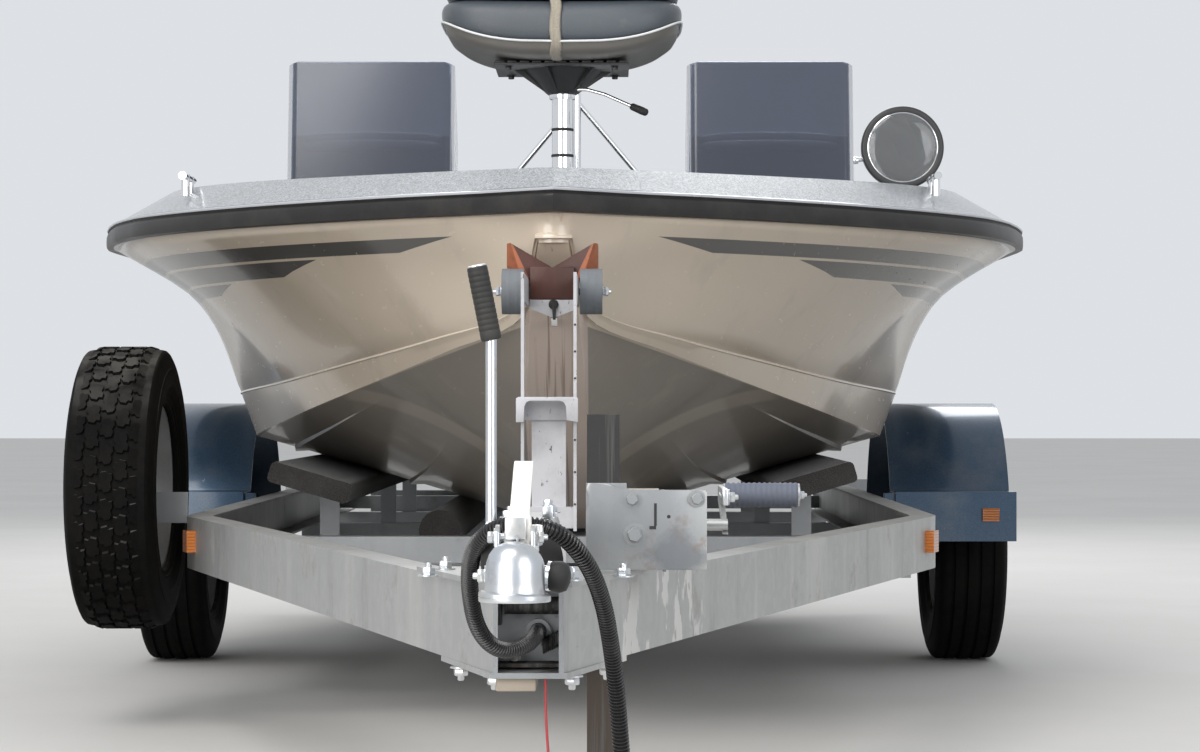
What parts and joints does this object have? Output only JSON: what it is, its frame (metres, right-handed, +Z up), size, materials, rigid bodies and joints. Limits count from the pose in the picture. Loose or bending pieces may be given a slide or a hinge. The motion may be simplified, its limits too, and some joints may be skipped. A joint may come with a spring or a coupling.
{
  "type": "fishing boat on road trailer",
  "caption": "Open fibreglass fishing boat with twin consoles, bow seat and outboard motor, on its braked road trailer with a winch and a parking leg.",
  "frame": {"origin": "on the floor under the middle of the whole boat and trailer", "axes": "+Y from bow to stern, +Z up, +X to the boat's port side"},
  "size_m": [2.5068, 8.0545, 1.7913],
  "materials": {
    "hull_gelcoat": "glossy beige gelcoat with dark blue-grey side stripes, scuffed",
    "flake_gelcoat": "silver metal-flake gelcoat",
    "grey_moulding": "grey moulded plastic",
    "smoked_acrylic": "smoked blue-grey acrylic",
    "black_rubber": "black rubber with a bright insert",
    "chrome": "polished chrome",
    "seat_vinyl": "light grey vinyl with white piping",
    "motor_shell": "gloss black paint on the cowl",
    "motor_casting": "black painted aluminium castings",
    "galvanised": "weathered galvanised steel",
    "zinc": "bright zinc plated steel, slightly rusty",
    "weathered_leg": "dark weathered steel with brown rust",
    "tyre_rubber": "ribbed road tread, dusty",
    "rim_paint": "silver wheel paint",
    "fender_paint": "deep metallic blue, scuffed",
    "bunk_carpet": "dark carpet over the bunks",
    "black_plastic": "black plastic",
    "orange_pad": "orange-red moulded bow stop",
    "grey_roller": "grey rubber rollers",
    "strap_webbing": "ribbed beige webbing",
    "amber_lens": "amber lenses",
    "red_lens": "red lenses",
    "red_cable": "thin red breakaway cable"
  },
  "bodies": {
    "root": {"hull": "hull_gelcoat", "deck": "flake_gelcoat", "rub_rail": "black_rubber", "cockpit_tub": "grey_moulding", "motor_well": "grey_moulding", "consoles": "grey_moulding", "windscreens": "smoked_acrylic", "helm_seats": "seat_vinyl", "bow_pedestal": "chrome", "tow_pylon": "chrome", "searchlight": "chrome", "cleats_and_eye": "chrome", "motor_bracket": "motor_casting", "frame_rails": "galvanised", "frame_brackets": "galvanised", "crossbeams": "galvanised", "rollers": "grey_roller", "bunks": "bunk_carpet", "axle": "galvanised", "tyre_spare": "tyre_rubber", "rim_spare": "rim_paint", "fenders": "fender_paint", "coupling_body": "galvanised", "coupling_head": "zinc", "winch_frame": "galvanised", "winch_post": "galvanised", "bow_stop": "orange_pad", "parking_leg": "weathered_leg", "side_markers": "amber_lens", "light_bar": "galvanised", "tail_lamps": "red_lens", "conduit": "black_plastic", "conduit_plug": "black_plastic", "breakaway_cable": "red_cable", "cable_clip": "zinc"},
    "wheel_left": {"tyre_left": "tyre_rubber", "rim_left": "rim_paint"},
    "wheel_right": {"tyre_right": "tyre_rubber", "rim_right": "rim_paint"},
    "winch": {"winch_drum": "galvanised", "winch_strap": "strap_webbing"},
    "handbrake": {"handbrake_lever": "zinc"},
    "bow_seat": {"bow_seat_mount": "black_plastic", "bow_seat_pad": "seat_vinyl", "bow_seat_back": "seat_vinyl"},
    "lid_port": {"bow_lid_right": "flake_gelcoat"},
    "lid_starboard": {"bow_lid_left": "flake_gelcoat"},
    "lid_aft": {"aft_lid": "flake_gelcoat"},
    "tilt_bracket": {"motor_swivel": "motor_casting"},
    "motor": {"motor_leg": "motor_casting", "motor_cowl": "motor_shell"},
    "screw": {"propeller": "motor_casting"},
    "helm": {"steering_wheel": "black_plastic"}
  },
  "joints": [
    {"name": "wheel_left_turn", "type": "hinge", "parent": "root", "child": "wheel_left", "pos_m": [-1.15, 1.26, 0.33], "axis": [-1, 0, 0], "continuous": true},
    {"name": "wheel_right_turn", "type": "hinge", "parent": "root", "child": "wheel_right", "pos_m": [1.15, 1.26, 0.33], "axis": [-1, 0, 0], "continuous": true},
    {"name": "winch_turn", "type": "hinge", "parent": "root", "child": "winch", "pos_m": [0.165, -3.06, 0.568], "axis": [1, 0, 0], "continuous": true},
    {"name": "handbrake_swing", "type": "hinge", "parent": "root", "child": "handbrake", "pos_m": [-0.054, -3.35, 0.575], "axis": [1, 0, 0], "range_deg": [0, 60]},
    {"name": "bow_seat_turn", "type": "hinge", "parent": "root", "child": "bow_seat", "pos_m": [0, -0.47, 1.4885], "axis": [0, 0, 1], "continuous": true},
    {"name": "lid_port_swing", "type": "hinge", "parent": "root", "child": "lid_port", "pos_m": [0.56, 0.47, 1.28], "axis": [0, 1, 0], "range_deg": [0, 85]},
    {"name": "lid_starboard_swing", "type": "hinge", "parent": "root", "child": "lid_starboard", "pos_m": [-0.56, 0.47, 1.28], "axis": [0, -1, 0], "range_deg": [0, 85]},
    {"name": "lid_aft_swing", "type": "hinge", "parent": "root", "child": "lid_aft", "pos_m": [0, 2.82, 1.28], "axis": [-1, 0, 0], "range_deg": [0, 85]},
    {"name": "motor_tilt", "type": "hinge", "parent": "root", "child": "tilt_bracket", "pos_m": [0, 3.56, 1], "axis": [1, 0, 0], "range_deg": [0, 60]},
    {"name": "motor_steer", "type": "hinge", "parent": "tilt_bracket", "child": "motor", "pos_m": [0, 3.63, 0.87], "axis": [0, 0, 1], "range_deg": [-30, 30]},
    {"name": "screw_turn", "type": "hinge", "parent": "motor", "child": "screw", "pos_m": [0, 3.97, 0.31], "axis": [0, 1, 0], "continuous": true},
    {"name": "helm_turn", "type": "hinge", "parent": "root", "child": "helm", "pos_m": [-0.57, 1.41, 1.299], "axis": [0, 0.9063, 0.4226], "range_deg": [-540, 540]}
  ],
  "couplings": [
    {"joint": "helm_turn", "follows": "motor_steer", "ratio": -18}
  ]
}
